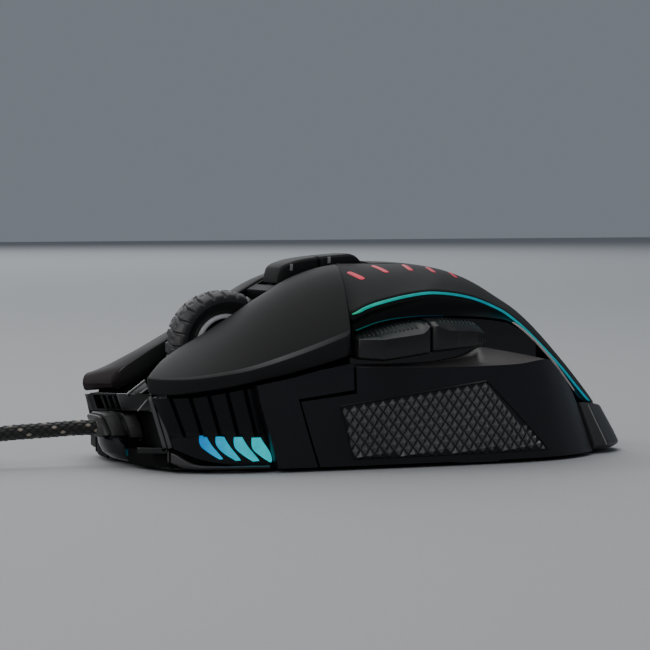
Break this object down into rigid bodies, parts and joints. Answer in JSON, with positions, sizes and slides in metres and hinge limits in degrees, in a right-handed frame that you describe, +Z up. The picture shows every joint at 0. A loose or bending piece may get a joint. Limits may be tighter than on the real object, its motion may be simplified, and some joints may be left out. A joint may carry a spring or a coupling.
{
  "type": "computer mouse",
  "caption": "Wired right-handed gaming mouse with a ribbed scroll wheel, thumb buttons, removable thumb grip, light strips and a braided cable with a plug.",
  "frame": {"origin": "centre of the mouse's outline, without its cable, on the surface it slides on", "axes": "-X forward to the cable, -Y towards the thumb side, +Z up"},
  "size_m": [0.209, 0.0818, 0.045],
  "materials": {
    "soft_shell": "soft-touch fine matte coat, charcoal",
    "gloss_band": "smooth, deep gloss black",
    "panel_satin": "satin moulded, bluish black",
    "shelf_satin": "fine satin, warm black",
    "side_key": "satin, lightly speckled",
    "louvre_black": "semi-gloss black",
    "nose_black": "satin black",
    "chin_gloss": "polished black",
    "bumper_satin": "satin with bright edges",
    "tail_grey": "fine matte grey",
    "base_black": "fine spark-eroded matte",
    "inner_black": "moulded, plain",
    "grip_rubber": "moulded rubber with rows of small pyramids",
    "glide_pad": "low-friction film, slightly milky",
    "steel": "plated",
    "magnet": "nickel plated",
    "light_blue": "lit light guide, blue to teal",
    "light_cyan": "lit light guide, cyan",
    "light_red": "lit indicator, pinkish red",
    "board_green": "solder mask",
    "switch_black": "moulded",
    "nylon": "plain nylon",
    "wheel_plastic": "satin",
    "wheel_ring": "satin silver",
    "wheel_rubber": "matte, blocky tread",
    "clear_lens": "clear moulded",
    "boot_rubber": "fine grained, ribbed",
    "cable_braid": "braided black yarn with beige flecks",
    "tie_rubber": "matte",
    "plug_black": "satin",
    "plug_steel": "plated"
  },
  "bodies": {
    "body": {"base_plate": "base_black", "glide_pads": "glide_pad", "case_screws": "steel", "front_bumper": "bumper_satin", "front_chin": "chin_gloss", "front_nose": "nose_black", "front_bezel": "nose_black", "front_grille_left": "louvre_black", "front_grille_right": "louvre_black", "front_light_guide_left": "light_blue", "front_light_guide_right": "light_blue", "front_side_panel_left": "panel_satin", "right_side_panel": "panel_satin", "right_grip_pad": "grip_rubber", "grip_magnet_plates": "steel", "palm_shell": "soft_shell", "palm_band_left": "gloss_band", "palm_light_strip_left": "light_cyan", "palm_light_strip_right": "light_cyan", "thumb_recess_wall": "gloss_band", "tail_bumper": "tail_grey", "top_frame": "inner_black", "hinge_pins": "steel", "centre_spine": "shelf_satin", "dpi_board": "board_green", "dpi_indicator_lens": "light_red", "side_button_board": "board_green", "main_board": "board_green", "board_screws": "steel", "main_switches": "switch_black", "middle_switch": "switch_black", "wheel_guide_posts": "inner_black", "sensor_chip": "switch_black", "sensor_lens": "clear_lens", "cable_socket": "nylon", "cable_boot": "boot_rubber", "cable_cord": "cable_braid", "cable_coil": "cable_braid", "coil_tie": "tie_rubber", "usb_plug_body": "plug_black", "usb_plug_shell": "plug_steel"},
    "left_key": {"left_button": "soft_shell", "left_button_arm": "inner_black"},
    "right_key": {"right_button": "soft_shell", "right_button_arm": "inner_black"},
    "wheel_cradle": {"wheel_carrier": "nylon", "wheel_encoder": "switch_black"},
    "wheel": {"wheel_axle": "steel", "wheel_hub": "wheel_plastic", "wheel_rim_ring": "wheel_ring", "wheel_tyre": "wheel_rubber"},
    "dpi_up_key": {"dpi_up_button": "soft_shell"},
    "dpi_down_key": {"dpi_down_button": "soft_shell"},
    "forward_key": {"forward_side_button": "side_key"},
    "back_key": {"back_side_button": "side_key"},
    "thumb_grip": {"side_grip_panel": "panel_satin", "thumb_shelf": "shelf_satin", "side_grip_pad": "grip_rubber", "grip_magnets": "magnet"}
  },
  "joints": [
    {"name": "left_button_press", "type": "hinge", "parent": "body", "child": "left_key", "pos_m": [-0.008, -0.0143, 0.03], "axis": [0, -1, 0], "range_deg": [0, 0.8], "stiffness_Nm_per_rad": 1.6, "springref_deg": -0.29},
    {"name": "right_button_press", "type": "hinge", "parent": "body", "child": "right_key", "pos_m": [-0.008, 0.015, 0.03], "axis": [0, -1, 0], "range_deg": [0, 0.8], "stiffness_Nm_per_rad": 1.6, "springref_deg": -0.29},
    {"name": "wheel_click", "type": "slide", "parent": "body", "child": "wheel_cradle", "axis": [0, 0, -1], "range_m": [0, 0.0005], "stiffness_N_per_m": 1500, "springref_m": -0.0003},
    {"name": "wheel_spin", "type": "hinge", "parent": "wheel_cradle", "child": "wheel", "pos_m": [-0.0326, 0, 0.0252], "axis": [0, 1, 0], "continuous": true},
    {"name": "dpi_up_press", "type": "slide", "parent": "body", "child": "dpi_up_key", "axis": [0, 0, -1], "range_m": [0, 0.0006], "stiffness_N_per_m": 1000, "springref_m": -0.0002},
    {"name": "dpi_down_press", "type": "slide", "parent": "body", "child": "dpi_down_key", "axis": [0, 0, -1], "range_m": [0, 0.0006], "stiffness_N_per_m": 1000, "springref_m": -0.0002},
    {"name": "forward_button_press", "type": "slide", "parent": "body", "child": "forward_key", "axis": [0, 1, 0], "range_m": [0, 0.0007], "stiffness_N_per_m": 900, "springref_m": -0.0002},
    {"name": "back_button_press", "type": "slide", "parent": "body", "child": "back_key", "axis": [0, 1, 0], "range_m": [0, 0.0007], "stiffness_N_per_m": 900, "springref_m": -0.0002},
    {"name": "side_grip_pull", "type": "slide", "parent": "body", "child": "thumb_grip", "axis": [0, -1, 0], "range_m": [0, 0.012]}
  ]
}
